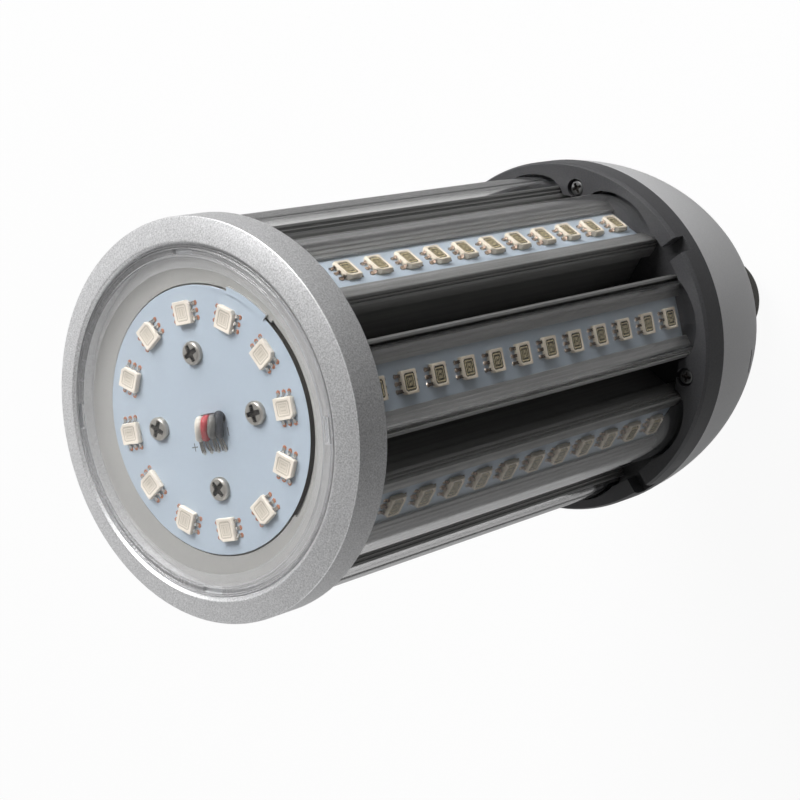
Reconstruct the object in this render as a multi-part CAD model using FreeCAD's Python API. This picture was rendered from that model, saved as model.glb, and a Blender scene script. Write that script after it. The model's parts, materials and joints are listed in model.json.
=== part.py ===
import FreeCAD, Part

import math
import os

V = FreeCAD.Vector

# Corn LED bulb in its own frame, in millimetres.
# The lamp axis is Z. Z = 0 is the bottom of the centre contact of the screw cap,
# and the round end face with its ring of LEDs looks up.
# Eight straight light modules stand around a core between a rear collar and a front ring.

# Screw cap
thread_d = 26.4
shell_wall = 0.5
cap_h = 27.0
insulator_h = 5.0
insulator_in = 2.7
insulator_foot = 0.8
shell_mouth_in = 2.4
shell_curl_h = 2.6
shell_curl_wall = 0.2
shell_lap = 0.8
contact_d = 9.6
contact_t = 1.2
contact_edge = 0.6
stem_d = 2.4
stem_rise = 1.4

# Strip boards and their LEDs
strip_w = 12.4
board_t = 1.6
strip_front_gap = 1.0
strip_rear_gap = 1.0
leds_per_strip = 12
first_led_in = 7.1
last_led_in = 5.8
led_long = 5.4
led_short = 5.0
led_h = 1.6
led_corner = 0.9

# Clear covers of the modules
cover_h = 7.4
cover_half = 9.9
cover_arc = 16.0
cover_shoulder = 5.0
cover_wall = 1.3
cover_toe = 0.55
cover_toe_t = 0.7

# Section of the light modules, with widths from its middle line
module_count = 8
module_l = 134.7
floor_r = 36.1
slot_side_gap = 0.15
slot_top_gap = 0.15
lip_reach = 1.2
lip_t = 0.6
shelf_rise = 0.85
rib_step = 0.25
groove_rise = 1.5
groove_gap = 0.15
toe_gap = 0.25
cover_gap = 0.15
wall_h = 3.0
wall_edge = 0.7
wall_edge_drop = 0.1
corner_w = 1.05
corner_drop = 3.1
skirt_in = 0.2
skirt_drop = 2.5
plate_t = 2.5
flute_depth = 0.35
flute_w = 0.55
fin_t = 1.3
fin_mid_at = 4.3
fin_mid_gap = 2.4
fin_side_at = 8.2
fin_side_gap = 1.34
web_t = 3.2
foot_half = 4.2
foot_t = 2.0
port_r = 2.7
port_rise = 9.9

# Core
core_flat_r = 18.6
core_bore_d = 26.0
core_port_in = 3.0
core_port_depth = 14.0

# Rear collar
collar_wall = 2.8
collar_depth = 8.5
collar_bevel = 1.2
collar_bevel_w = 0.5
pocket_depth = 4.5
pocket_gap = 0.5
pocket_crown = 16.5
pocket_shoulder = 6.5
spigot_l = 3.0
spigot_wall = 1.6
spigot_gap = 0.35
wire_way_d = 22.0
screw_web = 2.4
notch_wall = 4.7
notch_lap = 1.0
notch_slot_w = 4.4

# Rear housing
housing_l = 61.0
housing_step = 0.2
housing_wall = 2.2
dome_mid_in = 3.6
dome_mid_drop = 20.6
dome_end_in = 8.9
dome_end_drop = 33.0
shoulder_in = 15.1
shoulder_drop = 40.0
shoulder_bulge = 0.7
dome_chords = 4
neck_lip = 1.8
neck_taper = 1.5
neck_l = 9.0
vent_l = 6.5
vent_h = 1.5
vent_drop = 24.0
vent_count = 4

# Front ring
skirt_gap = 0.3
ring_skirt_wall = 1.2
skirt_overlap = 1.0
ring_web_t = 2.5
ring_face_w = 5.55
rim_rise = 1.55
rim_chamfer = 0.8
ring_edge = 0.7
lens_ledge = 1.75
lens_seat_drop = 0.9

# Front lens
lens_gap = 0.12
lens_room = 0.2
lens_rim_t = 2.1
lens_rim_w = 2.63
lens_t = 1.8
lens_crown = 2.0
bayonet_count = 4
bayonet_l = 6.0
bayonet_w = 1.3
bayonet_in = 1.43
bayonet_depth = 0.8
bayonet_turn = -99.0

# End plate and end board
end_plate_gap = 0.1
end_plate_t = 1.5
end_rim_drop = 0.3
end_recess_gap = 0.35
end_board_d = 61.7
relief_w = 0.8
relief_lap = 0.1
relief_from = -139.0
relief_to = -53.0
tab_from = -50.0
tab_to = -27.0
tab_in = 0.45
tab_t = 0.35
end_led_count = 12
end_led_out = 0.3

# Screws
screw_d = 3.0
screw_hole_gap = 0.2
thread_gap = 0.08
pan_head_d = 5.5
pan_head_h = 1.8
end_screw_l = 12.0
collar_screw_in = 6.3
collar_screw_d = 2.5
collar_head_d = 4.2
collar_head_h = 1.5
collar_sink_gap = 0.4
collar_sink = 1.9
collar_screw_l = 15.0
collar_screw_count = 4
boss_r = 2.9
boss_l = 15.0
boss_floor = 3.0
boss_web_t = 2.0

# Driver inside the housing
driver_t = 1.6
driver_drop = 8.0
driver_in = 1.4
driver_boss_gap = 0.5
driver_ledge = 3.0
driver_ledge_t = 2.0
transformer_x = 18.0
transformer_y = 16.0
transformer_z = 15.0
transformer_coil = 12.6
transformer_yoke = 8.8
transformer_yoke_z = 12.0
transformer_yoke_drop = 1.5
transformer_at = (-14.0, 10.0)
capacitor_d = 12.6
capacitor_h = 20.0
capacitor_at = (14.0, 12.0)
choke_d = 15.0
choke_bore = 6.0
choke_h = 8.0
choke_at = (2.0, -16.0)

# Wires at the centre of the end board
wire_d = 2.2
wire_space = 0.2
wire_names = ("white", "red", "grey", "black")
wire_slot_room = 0.25
wire_rise_x = 0.2
wire_up = 2.2
wire_bend = 1.4
wire_end_x = -3.6
wire_end_up = 1.15
wire_gap = 0.2
strand_d = 0.9
strand_fan = 1.1
solder_x = -6.6
solder_d = 2.3
solder_top_d = 1.15
solder_h = 0.9
input_lead_d = 1.4
input_lead_gap = 0.05
input_lead_reach = 6.0

# Places that follow from the sizes above
step_angle = 360.0 / module_count
half_step = math.radians(step_angle / 2)
first_gap = -90 + 3 * step_angle / 2
strip_top_r = floor_r + board_t
groove_floor_r = floor_r + groove_rise
cover_top_r = groove_floor_r + cover_h
port_at = core_flat_r + port_rise
end_screw_r = core_flat_r - core_port_in
collar_r = cover_top_r + pocket_gap + collar_wall
collar_screw_r = collar_r - collar_screw_in
housing_r = collar_r - housing_step
ring_r = cover_top_r + skirt_gap + ring_skirt_wall
rim_r = ring_r - ring_face_w
lens_seat_r = rim_r - rim_chamfer
plate_bore_r = lens_seat_r - lens_ledge
end_led_r = (end_screw_r + pan_head_d / 2 + end_board_d / 2) / 2 + end_led_out
wire_pitch = wire_d + wire_space
wire_row = wire_pitch * (len(wire_names) - 1)
wire_slot_r = wire_d / 2 + wire_slot_room

# Heights that follow from the sizes above
collar_rear_z = cap_h + housing_l
collar_face_z = collar_rear_z + collar_depth
pocket_z = collar_face_z - pocket_depth
spigot_z = collar_rear_z - spigot_l
module_top_z = pocket_z + module_l
plate_z = module_top_z + ring_web_t
board_seat_z = plate_z + end_plate_t
end_board_top_z = board_seat_z + board_t
end_rim_z = end_board_top_z - end_rim_drop
lens_seat_z = end_board_top_z + led_h + lens_room
lens_rim_z = lens_seat_z + lens_rim_t
ring_back_z = module_top_z - skirt_overlap
ring_edge_z = lens_seat_z + lens_seat_drop
rim_z = ring_edge_z + rim_rise
driver_z = collar_rear_z - driver_drop
insulator_top_z = insulator_h + shell_lap
stem_top_z = insulator_top_z + stem_rise


def turned(shape, angle):
    """Return the shape turned about the lamp axis."""
    copy = shape.copy()
    copy.rotate(V(0, 0, 0), V(0, 0, 1), angle)
    return copy


def ring_of(shape, count, start=0.0):
    """Return copies of the shape in equal steps about the lamp axis."""
    return [turned(shape, start + 360.0 * i / count) for i in range(count)]


def disc(radius, z, height, x=0.0, y=0.0):
    return Part.makeCylinder(radius, height, V(x, y, z))


def tube(r_in, r_out, z, height):
    """Plain ring of constant section."""
    return disc(r_out, z, height).cut(disc(r_in, z, height))


def sector(r_in, r_out, z, height, start, end):
    """Part of a plain ring between two angles."""
    body = Part.makeCylinder(r_out, height, V(0, 0, z), V(0, 0, 1), end - start)
    return turned(body, start).cut(disc(r_in, z, height))


def block(size_x, size_y, size_z, x, y, z):
    """Box centred on x and y that stands on z."""
    return Part.makeBox(size_x, size_y, size_z, V(x - size_x / 2, y - size_y / 2, z))


def rod(start, end, diameter):
    """Round bar between two points."""
    return Part.makeCylinder(diameter / 2, (end - start).Length, start, end - start)


def crown(edge_r, z, height):
    """Round cap of a sphere that stands on z."""
    sphere_r = (edge_r ** 2 + height ** 2) / (2 * height)
    ball = Part.makeSphere(sphere_r, V(0, 0, z + height - sphere_r))
    return ball.common(disc(2 * edge_r, z, 2 * height))


def line(a, b):
    return Part.LineSegment(a, b).toShape()


def polygon(points):
    """Closed face in the plane of its points."""
    return Part.Face(Part.makePolygon(list(points) + [points[0]]))


def revolved(edges):
    """Solid of revolution from the edges of a closed outline in X and Z."""
    return Part.Face(Part.Wire(edges)).revolve(V(0, 0, 0), V(0, 0, 1), 360)


def turn_points(points):
    """Solid of revolution from radius and height pairs."""
    return polygon([V(r, 0, z) for r, z in points]).revolve(V(0, 0, 0), V(0, 0, 1), 360)


def save(name, solids):
    """Write one node from a solid or a list of separate solids."""
    items = solids if isinstance(solids, list) else [solids]
    shape = items[0] if len(items) == 1 else Part.makeCompound(items)
    shape.exportStep("parts/" + name + ".step")


def arch(half, top_r, crown_arc, shoulder, foot_r):
    """Edges of a D-shaped arch from its left foot to its right foot.

    The section lies in X and Y with Y as the distance from the lamp axis.
    A wide crown arc runs tangent into two shoulder arcs and two straight sides.
    """
    crown_y = top_r - crown_arc
    side = half - shoulder
    reach = crown_arc - shoulder
    shoulder_y = crown_y + math.sqrt(reach ** 2 - side ** 2)
    lean = math.asin(side / reach)
    join_x = crown_arc * math.sin(lean)
    join_y = crown_y + crown_arc * math.cos(lean)
    mid = math.radians(45) + lean / 2
    mid_x = side + shoulder * math.sin(mid)
    mid_y = shoulder_y + shoulder * math.cos(mid)
    left = Part.Arc(V(-half, shoulder_y, 0), V(-mid_x, mid_y, 0), V(-join_x, join_y, 0)).toShape()
    top = Part.Arc(V(-join_x, join_y, 0), V(0, top_r, 0), V(join_x, join_y, 0)).toShape()
    right = Part.Arc(V(join_x, join_y, 0), V(mid_x, mid_y, 0), V(half, shoulder_y, 0)).toShape()
    rise = line(V(-half, foot_r, 0), V(-half, shoulder_y, 0))
    fall = line(V(half, shoulder_y, 0), V(half, foot_r, 0))
    return [rise, left, top, right, fall]


def stand(face, z, height):
    """Extrude a module section upward, with its outer side towards -Y."""
    body = face.extrude(V(0, 0, height))
    body.translate(V(0, 0, z))
    return turned(body, 180)


def pan_screw(diameter, head_d, head_h, length):
    """Screw with its head above Z = 0 and its shank below."""
    return disc(head_d / 2, 0, head_h).fuse(disc(diameter / 2, -length, length))


def on_circle(shape, radius, z, count, start):
    """Separate copies of a screw on a circle, the first at the start angle."""
    copy = shape.copy()
    copy.translate(V(radius, 0, z))
    return ring_of(copy, count, start)


def holes(diameter, radius, z, depth, count, start):
    """Hole cylinders on a circle, cut downward from z."""
    return ring_of(disc(diameter / 2, z - depth, depth, radius), count, start)


def heat_sink_outline():
    """Half of the module extrusion's section, with Y as the distance from the axis.

    From the middle outward it has the board slot under a lip, a stepped shelf,
    the groove that holds the cover's toe, a fluted flank, two cooling fins,
    and half of the web with its foot on the core.
    """
    slot_half = strip_w / 2 + slot_side_gap
    slot_top = floor_r + board_t + slot_top_gap
    lip_in = slot_half - lip_reach
    lip_top = slot_top + lip_t
    shelf_top = lip_top + shelf_rise
    shelf_out = cover_half - cover_wall - cover_gap
    rib_w = (shelf_out - lip_in) / 3
    rib_rise = (shelf_rise - 2 * rib_step) / 3
    groove_roof = groove_floor_r + cover_toe_t + groove_gap
    groove_in = cover_half - cover_wall - cover_toe - toe_gap
    wall_in = cover_half + cover_gap
    wall_top = groove_floor_r + wall_h
    corner_out = wall_in + corner_w
    corner_r = wall_top - corner_drop
    flank = []
    for share in (0.25, 0.55):
        x = wall_in + wall_edge + (corner_w - wall_edge) * share
        y = wall_top - corner_drop * share
        flank += [(x, y), (x - flute_depth, y), (x - flute_depth, y - flute_w), (x, y - flute_w)]
    plate_bottom = floor_r - plate_t
    foot_top = core_flat_r + foot_t
    side_out = fin_side_at + fin_t / 2
    side_tip = (side_out + fin_side_gap) / math.tan(half_step)
    mid_tip = foot_top + fin_mid_gap
    return [
        (slot_half, floor_r),
        (slot_half, slot_top),
        (lip_in, slot_top),
        (lip_in, lip_top),
        (lip_in + rib_w, lip_top + rib_rise),
        (lip_in + rib_w, lip_top + rib_rise + rib_step),
        (lip_in + 2 * rib_w, lip_top + 2 * rib_rise + rib_step),
        (lip_in + 2 * rib_w, lip_top + 2 * rib_rise + 2 * rib_step),
        (shelf_out, shelf_top),
        (shelf_out, groove_roof),
        (groove_in, groove_roof),
        (groove_in, groove_floor_r),
        (wall_in, groove_floor_r),
        (wall_in, wall_top),
        (wall_in + wall_edge, wall_top - wall_edge_drop),
    ] + flank + [
        (corner_out, corner_r),
        (corner_out - skirt_in, corner_r - skirt_drop),
        (side_out, plate_bottom),
        (side_out, side_tip),
        (side_out - fin_t, side_tip),
        (side_out - fin_t, plate_bottom),
        (fin_mid_at + fin_t / 2, plate_bottom),
        (fin_mid_at + fin_t / 2, mid_tip),
        (fin_mid_at - fin_t / 2, mid_tip),
        (fin_mid_at - fin_t / 2, plate_bottom),
        (web_t / 2, plate_bottom),
        (web_t / 2, foot_top),
        (foot_half, foot_top),
        (foot_half, core_flat_r),
    ]


def heat_sink():
    """Module extrusion with a screw port that runs its whole length."""
    half = heat_sink_outline()
    mirror = [(-x, y) for x, y in reversed(half)]
    section = polygon([V(x, y, 0) for x, y in half + mirror])
    body = stand(section, pocket_z, module_l)
    port = disc(port_r, pocket_z, module_l, 0, -port_at)
    bore = disc((screw_d + thread_gap) / 2, pocket_z, module_l, 0, -port_at)
    return body.fuse(port).cut(bore).removeSplitter()


def strip_board():
    length = module_l - strip_front_gap - strip_rear_gap
    return block(strip_w, board_t, length, 0, -(floor_r + board_t / 2), pocket_z + strip_rear_gap)


def led_body():
    """One LED package lying on Z = 0, with one corner cut and its leads' sides towards X."""
    x = led_short / 2
    y = led_long / 2
    corners = [(x, -y), (x, y), (-x, y), (-x, -y + led_corner), (-x + led_corner, -y)]
    return polygon([V(a, b, 0) for a, b in corners]).extrude(V(0, 0, led_h))


def strip_leds():
    """The LEDs of one strip, on the strip board's outer face at -Y."""
    length = module_l - strip_front_gap - strip_rear_gap
    pitch = (length - first_led_in - last_led_in) / (leds_per_strip - 1)
    first_z = module_top_z - strip_front_gap - first_led_in
    led = led_body()
    led.rotate(V(0, 0, 0), V(0, 1, 0), 90)
    led.rotate(V(0, 0, 0), V(0, 0, 1), -90)
    leds = []
    for i in range(leds_per_strip):
        copy = led.copy()
        copy.translate(V(0, -strip_top_r, first_z - i * pitch))
        leds.append(copy)
    return leds


def cover():
    """Clear arched cover that slides into the module's grooves on two toes."""
    foot = groove_floor_r
    toe_top = foot + cover_toe_t
    inner_half = cover_half - cover_wall
    toe_x = inner_half - cover_toe
    outer = arch(cover_half, cover_top_r, cover_arc, cover_shoulder, foot)
    inner = arch(inner_half, cover_top_r - cover_wall, cover_arc - cover_wall,
                 cover_shoulder - cover_wall, toe_top)
    toes = []
    for side in (-1, 1):
        corners = [(cover_half, foot), (toe_x, foot), (toe_x, toe_top), (inner_half, toe_top)]
        toes += Part.makePolygon([V(side * x, y, 0) for x, y in corners]).Edges
    face = Part.Face(Part.Wire(Part.__sortEdges__(outer + inner + toes)))
    return stand(face, pocket_z, module_l)


def core():
    """Octagonal core tube, each flat under one module's foot."""
    corner = core_flat_r / math.cos(half_step)
    angles = [math.radians(first_gap + step_angle * i) for i in range(module_count)]
    body = polygon([V(corner * math.cos(a), corner * math.sin(a), pocket_z) for a in angles])
    body = body.extrude(V(0, 0, module_l)).cut(disc(core_bore_d / 2, pocket_z, module_l))
    return body.cut(holes(screw_d + thread_gap, end_screw_r, module_top_z, core_port_depth, 4, 0))


def front_ring():
    """Ring that holds the lens, with a skirt around the modules' ends and a web behind."""
    slope = rim_rise / ring_face_w
    hole = core_bore_d / 2
    skirt = ring_r - ring_skirt_wall
    profile = [
        (hole, module_top_z),
        (skirt, module_top_z),
        (skirt, ring_back_z),
        (ring_r, ring_back_z),
        (ring_r, ring_edge_z - ring_edge),
        (ring_r - ring_edge, ring_edge_z + ring_edge * slope),
        (rim_r, rim_z),
        (lens_seat_r, rim_z - rim_chamfer),
        (lens_seat_r, lens_seat_z),
        (plate_bore_r, lens_seat_z),
        (plate_bore_r, plate_z),
        (hole, plate_z),
    ]
    return turn_points(profile).cut(holes(screw_d + screw_hole_gap, end_screw_r, plate_z, ring_web_t, 4, 0))


def front_lens():
    """Clear cover: a flat rim with bayonet recesses and a low crowned middle."""
    rim = lens_seat_r - lens_gap
    step = rim - lens_rim_w
    body = disc(rim, lens_seat_z, lens_rim_t)
    body = body.fuse(crown(step, lens_rim_z, lens_crown))
    body = body.cut(crown(step, lens_seat_z, lens_rim_t + lens_crown - lens_t))
    slot_r = rim - bayonet_in
    half_turn = math.degrees(bayonet_l / 2 / slot_r)
    slot = sector(slot_r - bayonet_w / 2, slot_r + bayonet_w / 2, lens_rim_z - bayonet_depth,
                  2 * bayonet_depth, -half_turn, half_turn)
    return body.cut(ring_of(slot, bayonet_count, bayonet_turn))


def wire_slot(z, height):
    """Oblong hole for the row of wires."""
    slot = block(2 * wire_slot_r, wire_row, height, wire_rise_x, 0, z)
    ends = [disc(wire_slot_r, z, height, wire_rise_x, y) for y in (-wire_row / 2, wire_row / 2)]
    return slot.fuse(ends)


def end_plate():
    """Plate that seats the end board in a recess, with a relief and a locating tab."""
    recess = end_board_d / 2 + end_recess_gap
    lip = recess + relief_w
    body = disc(plate_bore_r - end_plate_gap, plate_z, end_rim_z - plate_z)
    relief = sector(recess - relief_lap, lip, board_seat_z, end_rim_z - board_seat_z, relief_from, relief_to)
    cuts = [disc(recess, board_seat_z, end_rim_z - board_seat_z), relief, wire_slot(plate_z, end_plate_t)]
    cuts += holes(screw_d + screw_hole_gap, end_screw_r, board_seat_z, end_plate_t, 4, 0)
    tab = sector(end_board_d / 2 - tab_in, lip, end_board_top_z, tab_t, tab_from, tab_to)
    post = sector(recess, lip, end_rim_z, end_rim_drop, tab_from, tab_to)
    return body.cut(cuts).fuse([tab, post])


def end_board():
    body = disc(end_board_d / 2, board_seat_z, board_t)
    cuts = holes(screw_d + screw_hole_gap, end_screw_r, end_board_top_z, board_t, 4, 0)
    return body.cut(cuts + [wire_slot(board_seat_z, board_t)])


def end_leds():
    """LEDs of the end board, with their leads' sides along the circle."""
    led = turned(led_body(), 90)
    led.translate(V(end_led_r, 0, end_board_top_z))
    return ring_of(led, end_led_count, 0)


def pocket():
    """D-shaped pocket that clears one module's end."""
    half = cover_half + cover_gap + corner_w + pocket_gap
    edges = arch(half, cover_top_r + pocket_gap, pocket_crown, pocket_shoulder, 0)
    edges.append(line(V(half, 0, 0), V(-half, 0, 0)))
    return stand(Part.Face(Part.Wire(edges)), pocket_z, pocket_depth)


def collar():
    """Collar with eight D-shaped pockets, four screw webs and four notches open to its side."""
    way = wire_way_d / 2
    profile = [(way, collar_rear_z), (collar_r, collar_rear_z), (collar_r, collar_face_z - collar_bevel),
               (collar_r - collar_bevel_w, collar_face_z), (way, collar_face_z)]
    web_r = collar_screw_r - screw_web
    half_gap = step_angle / 2
    notch = sector(web_r - notch_lap, collar_r - notch_wall, pocket_z, pocket_depth, -half_gap, half_gap)
    cuts = ring_of(pocket(), module_count)
    cuts += [disc(web_r, pocket_z, pocket_depth)]
    cuts += ring_of(notch, collar_screw_count, first_gap + step_angle)
    slot_l = collar_r - web_r + 2 * notch_lap
    slot = block(slot_l, notch_slot_w, pocket_depth, (collar_r + web_r) / 2, 0, pocket_z)
    cuts += ring_of(slot, collar_screw_count, first_gap + step_angle)
    body = turn_points(profile).cut(cuts)
    spigot_r = housing_r - housing_wall - spigot_gap
    body = body.fuse(tube(spigot_r - spigot_wall, spigot_r, spigot_z, spigot_l))
    shank = collar_screw_d + screw_hole_gap
    sink_d = collar_head_d + 2 * collar_sink_gap
    cuts = holes(shank, collar_screw_r, collar_face_z, collar_depth, collar_screw_count, first_gap)
    cuts += holes(sink_d, collar_screw_r, collar_face_z, collar_sink, collar_screw_count, first_gap)
    return body.cut(cuts)


def housing_form(inset, arched):
    """Solid inside the housing's outline, moved inward by an inset, with an arched or a straight-sided dome."""
    neck_r = thread_d / 2 + neck_lip - inset
    mouth = V(housing_r - inset, 0, collar_rear_z)
    mid = V(mouth.x - dome_mid_in, 0, collar_rear_z - dome_mid_drop)
    end = V(mouth.x - dome_end_in, 0, collar_rear_z - dome_end_drop)
    shoulder = V(mouth.x - shoulder_in, 0, collar_rear_z - shoulder_drop + inset / 2)
    bend = (end + shoulder) / 2 + V(shoulder_bulge, 0, -shoulder_bulge / 2)
    neck_top = V(neck_r + neck_taper, 0, cap_h + neck_l + inset)
    neck = V(neck_r, 0, cap_h)
    axis_low = V(0, 0, cap_h)
    axis_high = V(0, 0, collar_rear_z)
    dome = [Part.Arc(mouth, mid, end).toShape()]
    turn = [Part.Arc(end, bend, shoulder).toShape()]
    if not arched:
        points = dome[0].discretize(dome_chords + 1)
        dome = [line(a, b) for a, b in zip(points, points[1:])]
        turn = [line(end, shoulder)]
    return revolved(dome + turn + [line(shoulder, neck_top), line(neck_top, neck), line(neck, axis_low),
                                   line(axis_low, axis_high), line(axis_high, mouth)])


def housing():
    """Domed rear housing with a driver ledge, four screw bosses and four short vents."""
    solid = housing_form(0, True)
    shell = solid.cut(housing_form(housing_wall, False))
    ledge_in = housing_r - housing_wall - driver_ledge
    ledge = tube(ledge_in, housing_r, driver_z - driver_ledge_t, driver_ledge_t).common(solid)
    boss_z = spigot_z - boss_l
    web = block(2 * boss_r, boss_web_t, boss_l, collar_screw_r + boss_r, 0, boss_z)
    boss = disc(boss_r, boss_z, boss_l, collar_screw_r).fuse(web).common(solid)
    shell = shell.fuse([ledge] + ring_of(boss, collar_screw_count, first_gap))
    cuts = holes(collar_screw_d + thread_gap, collar_screw_r, spigot_z, boss_l - boss_floor,
                 collar_screw_count, first_gap)
    inside = housing_r - 2 * dome_mid_in - housing_wall
    vent = block(2 * housing_r, vent_l, vent_h, housing_r, 0, collar_rear_z - vent_drop)
    vent = vent.cut(disc(inside, cap_h, housing_l))
    return shell.cut(cuts + ring_of(vent, vent_count, first_gap))


def base_shell():
    """Plain metal shell of the screw cap, open at both ends, with a curled mouth below."""
    outer = thread_d / 2
    inner = outer - shell_wall
    mouth = outer - shell_mouth_in
    curl_z = insulator_h + shell_curl_h
    profile = [(mouth, insulator_h), (outer, curl_z), (outer, cap_h), (inner, cap_h),
               (inner, curl_z + shell_curl_wall), (mouth, insulator_top_z)]
    return turn_points(profile)


def base_insulator():
    """Dark insulator between the shell and the centre contact."""
    stem = stem_d / 2
    mouth = thread_d / 2 - shell_mouth_in
    profile = [(stem, contact_t), (contact_d / 2 + insulator_foot, contact_t),
               (thread_d / 2 - insulator_in, insulator_h), (mouth, insulator_h),
               (mouth, insulator_top_z), (stem, insulator_top_z)]
    return turn_points(profile)


def base_contact():
    """Round centre contact with a rivet stem through the insulator."""
    r = contact_d / 2
    stem = stem_d / 2
    profile = [(0, 0), (r - contact_edge, 0), (r, contact_edge), (r, contact_t), (stem, contact_t),
               (stem, stem_top_z), (0, stem_top_z)]
    return turn_points(profile)


def driver_board():
    """Round driver board on the housing's ledge, cut out around the screw bosses."""
    body = disc(housing_r - housing_wall - driver_in, driver_z, driver_t)
    boss = disc(boss_r + driver_boss_gap, driver_z, driver_t, collar_screw_r)
    web_w = boss_web_t + 2 * driver_boss_gap
    web = block(4 * boss_r, web_w, driver_t, collar_screw_r + 2 * boss_r, 0, driver_z)
    return body.cut(ring_of(boss.fuse(web), collar_screw_count, first_gap))


def transformer():
    at_x, at_y = transformer_at
    coil = block(transformer_coil, transformer_y, transformer_z, at_x, at_y, driver_z - transformer_z)
    yoke_z = driver_z - transformer_yoke_drop - transformer_yoke_z
    yoke = block(transformer_x, transformer_yoke, transformer_yoke_z, at_x, at_y, yoke_z)
    return coil.fuse(yoke)


def capacitor():
    at_x, at_y = capacitor_at
    return disc(capacitor_d / 2, driver_z - capacitor_h, capacitor_h, at_x, at_y)


def choke():
    at_x, at_y = choke_at
    body = tube(choke_bore / 2, choke_d / 2, driver_z - choke_h, choke_h)
    body.translate(V(at_x, at_y, 0))
    return body


def tube_along(points, radii, diameter):
    """Round tube along straight runs joined by tangent arcs."""
    edges = []
    start = points[0]
    for i in range(1, len(points) - 1):
        corner = points[i]
        back = (points[i - 1] - corner).normalize()
        ahead = (points[i + 1] - corner).normalize()
        half = back.getAngle(ahead) / 2
        reach = radii[i - 1] / math.tan(half)
        enter = corner + back * reach
        leave = corner + ahead * reach
        middle = corner + (back + ahead).normalize() * (radii[i - 1] / math.sin(half) - radii[i - 1])
        edges.append(line(start, enter))
        edges.append(Part.Arc(enter, middle, leave).toShape())
        start = leave
    edges.append(line(start, points[-1]))
    ahead = (points[1] - points[0]).normalize()
    ring = Part.Wire(Part.makeCircle(diameter / 2, points[0], ahead))
    return Part.Wire(edges).makePipeShell([ring], True, True)


def wire_y(index):
    return ((len(wire_names) - 1) / 2 - index) * wire_pitch


def wire(index):
    """Insulated wire from the driver board up the core and over onto the end board."""
    y = wire_y(index)
    top_z = end_board_top_z + wire_up
    points = [
        V(wire_rise_x, y, driver_z + driver_t),
        V(wire_rise_x, y, top_z),
        V(wire_end_x, y, end_board_top_z + wire_end_up),
    ]
    return tube_along(points, [wire_bend], wire_d)


def solder_joint(index):
    """Bare strand from a wire's end to its pad, under a low mound of solder."""
    y = wire_y(index)
    pad = V(solder_x, y * strand_fan, end_board_top_z)
    start = V(wire_end_x - wire_gap, y, end_board_top_z + wire_end_up - wire_gap)
    strand = rod(start, pad + V(0, 0, strand_d / 2), strand_d)
    mound = Part.makeCone(solder_d / 2, solder_top_d / 2, solder_h, pad)
    return strand.fuse(mound)


def input_leads():
    """Two leads from the driver down to the centre contact and to the shell."""
    centre = disc(input_lead_d / 2, stem_top_z, driver_z - stem_top_z)
    side_x = thread_d / 2 - shell_wall - input_lead_d / 2 - input_lead_gap
    side_z = cap_h - input_lead_reach
    side = disc(input_lead_d / 2, side_z, driver_z - side_z, side_x)
    return [centre, side]


def save_front():
    save("front_ring", front_ring())
    save("front_lens", front_lens())
    save("end_plate", end_plate())
    save("end_board", end_board())
    save("end_leds", end_leds())
    end_screw = pan_screw(screw_d, pan_head_d, pan_head_h, end_screw_l)
    save("end_board_screws", on_circle(end_screw, end_screw_r, end_board_top_z, 4, 0))
    for index, colour in enumerate(wire_names):
        save("wire_" + colour, wire(index))
    save("solder_joints", [solder_joint(i) for i in range(len(wire_names))])


def save_modules():
    save("core_tube", core())
    sink = heat_sink()
    board = strip_board()
    leds = strip_leds()
    clear = cover()
    for i in range(module_count):
        angle = step_angle * i
        number = str(i + 1)
        save("heat_sink_" + number, turned(sink, angle))
        save("strip_board_" + number, turned(board, angle))
        save("strip_leds_" + number, [turned(led, angle) for led in leds])
        save("strip_cover_" + number, turned(clear, angle))


def save_rear():
    save("rear_collar", collar())
    collar_screw = pan_screw(collar_screw_d, collar_head_d, collar_head_h, collar_screw_l)
    seat_z = collar_face_z - collar_sink
    save("collar_screws", on_circle(collar_screw, collar_screw_r, seat_z, collar_screw_count, first_gap))
    save("rear_housing", housing())
    save("driver_board", driver_board())
    save("driver_transformer", transformer())
    save("driver_capacitor", capacitor())
    save("driver_choke", choke())
    save("input_leads", input_leads())
    save("base_shell", base_shell())
    save("base_insulator", base_insulator())
    save("base_contact", base_contact())


def main():
    os.makedirs("parts", exist_ok=True)
    save_front()
    save_modules()
    save_rear()


main()
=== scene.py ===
"""Looks of the corn LED bulb: surfaces, finishes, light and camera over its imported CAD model."""

import json
import math

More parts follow.
